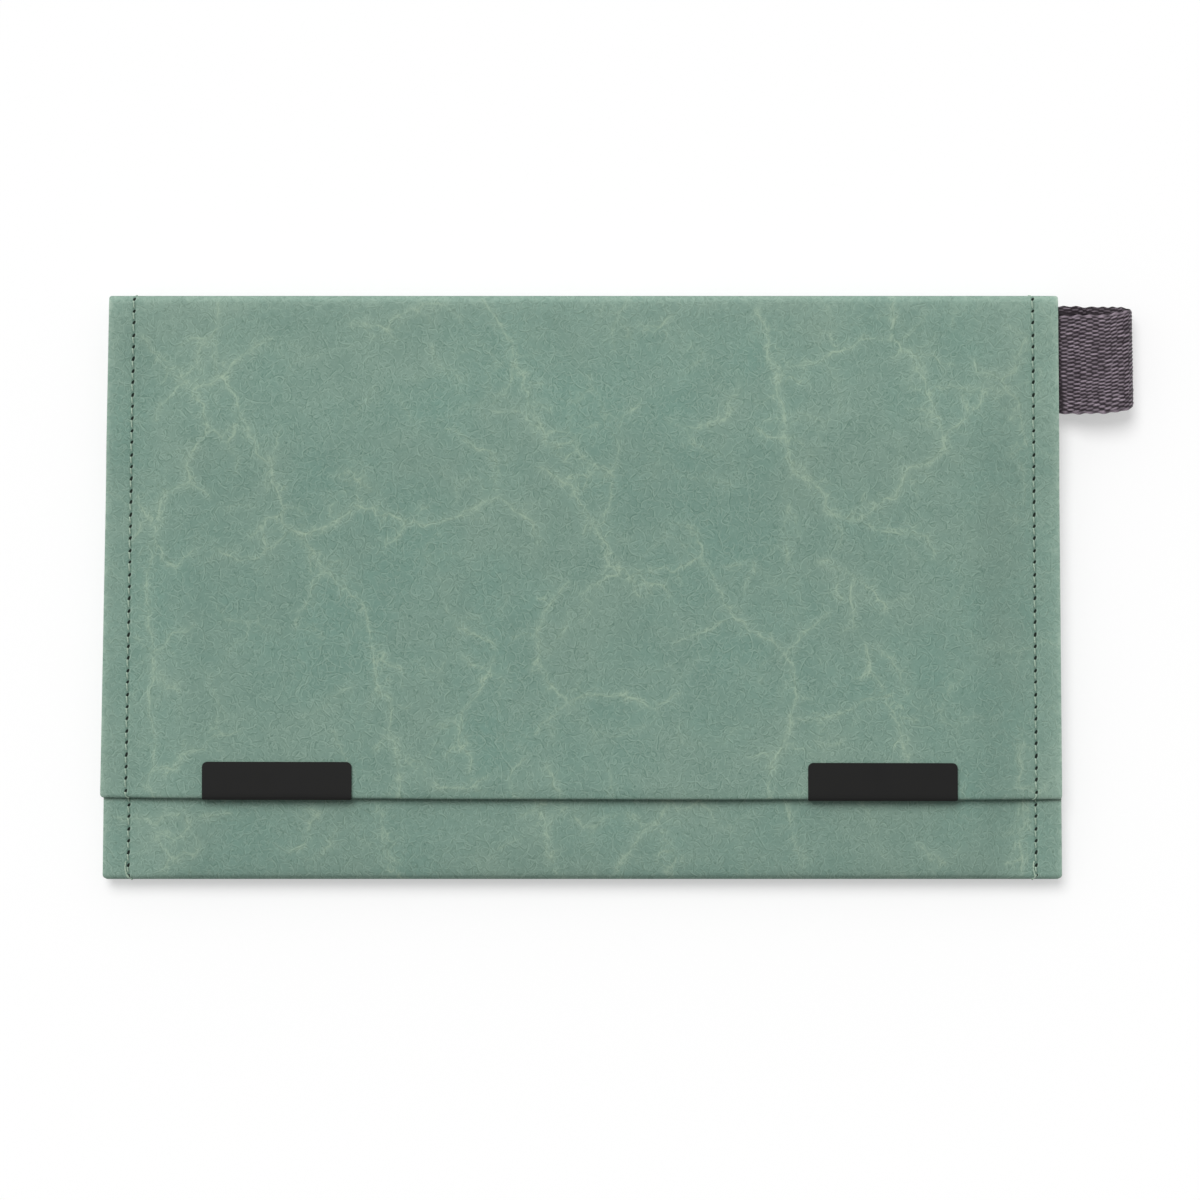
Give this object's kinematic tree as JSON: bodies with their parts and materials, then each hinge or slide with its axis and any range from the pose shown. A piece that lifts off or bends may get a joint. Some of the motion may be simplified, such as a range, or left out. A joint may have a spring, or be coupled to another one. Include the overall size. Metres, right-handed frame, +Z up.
{
  "type": "travel organizer",
  "caption": "Flat travel document organizer of sage green washable kraft paper, with a wrap-over flap on a soft spine, black edge clips that meet magnets, and a webbing hanging loop.",
  "frame": {"origin": "middle of the flat outer face of the back panel, which lies on the table", "axes": "+X along the long side, towards the webbing loop; +Y across, towards the spine that carries the flap; +Z up, out of the flap's outer face"},
  "size_m": [0.2586, 0.146, 0.0123],
  "materials": {
    "kraft_paper": "matt, fibrous, crinkled",
    "lining_paper": "matt, fibrous",
    "thread": "twisted polyester",
    "black_steel": "satin black coating",
    "nickel": "nickel plated",
    "webbing": "woven polyester"
  },
  "bodies": {
    "pouch": {"back_panel": "kraft_paper", "back_lining": "lining_paper", "front_panel": "kraft_paper", "front_lining": "lining_paper", "bottom_fold": "kraft_paper", "passport_pocket": "lining_paper", "passport_pocket_stitch": "thread", "card_pocket": "lining_paper", "card_pocket_stitch": "thread", "catch_magnet_left": "nickel", "catch_magnet_right": "nickel", "loop_tails": "webbing", "side_stitch_left": "thread", "side_stitch_right": "thread", "back_stitch_left": "thread", "back_stitch_right": "thread"},
    "spine": {"spine_panel": "kraft_paper", "spine_lining": "lining_paper"},
    "flap": {"flap_panel": "kraft_paper", "flap_lining": "lining_paper", "flap_stitch_left": "thread", "flap_stitch_right": "thread", "flap_clip_left": "black_steel", "flap_clip_right": "black_steel"},
    "loop": {"webbing_loop": "webbing"}
  },
  "joints": [
    {"name": "spine_fold", "type": "hinge", "parent": "pouch", "child": "spine", "pos_m": [0, 0.07245, 0.00385], "axis": [-1, 0, 0], "range_deg": [0, 89.5]},
    {"name": "flap_fold", "type": "hinge", "parent": "spine", "child": "flap", "pos_m": [0, 0.07245, 0.0078], "axis": [-1, 0, 0], "range_deg": [0, 89.5]},
    {"name": "loop_flex", "type": "hinge", "parent": "pouch", "child": "loop", "pos_m": [0.1212, 0.0575, 0.00505], "axis": [0, -1, 0], "range_deg": [-5, 45], "stiffness_Nm_per_rad": 0.01}
  ],
  "couplings": [
    {"joint": "spine_fold", "follows": "flap_fold", "ratio": 1}
  ]
}
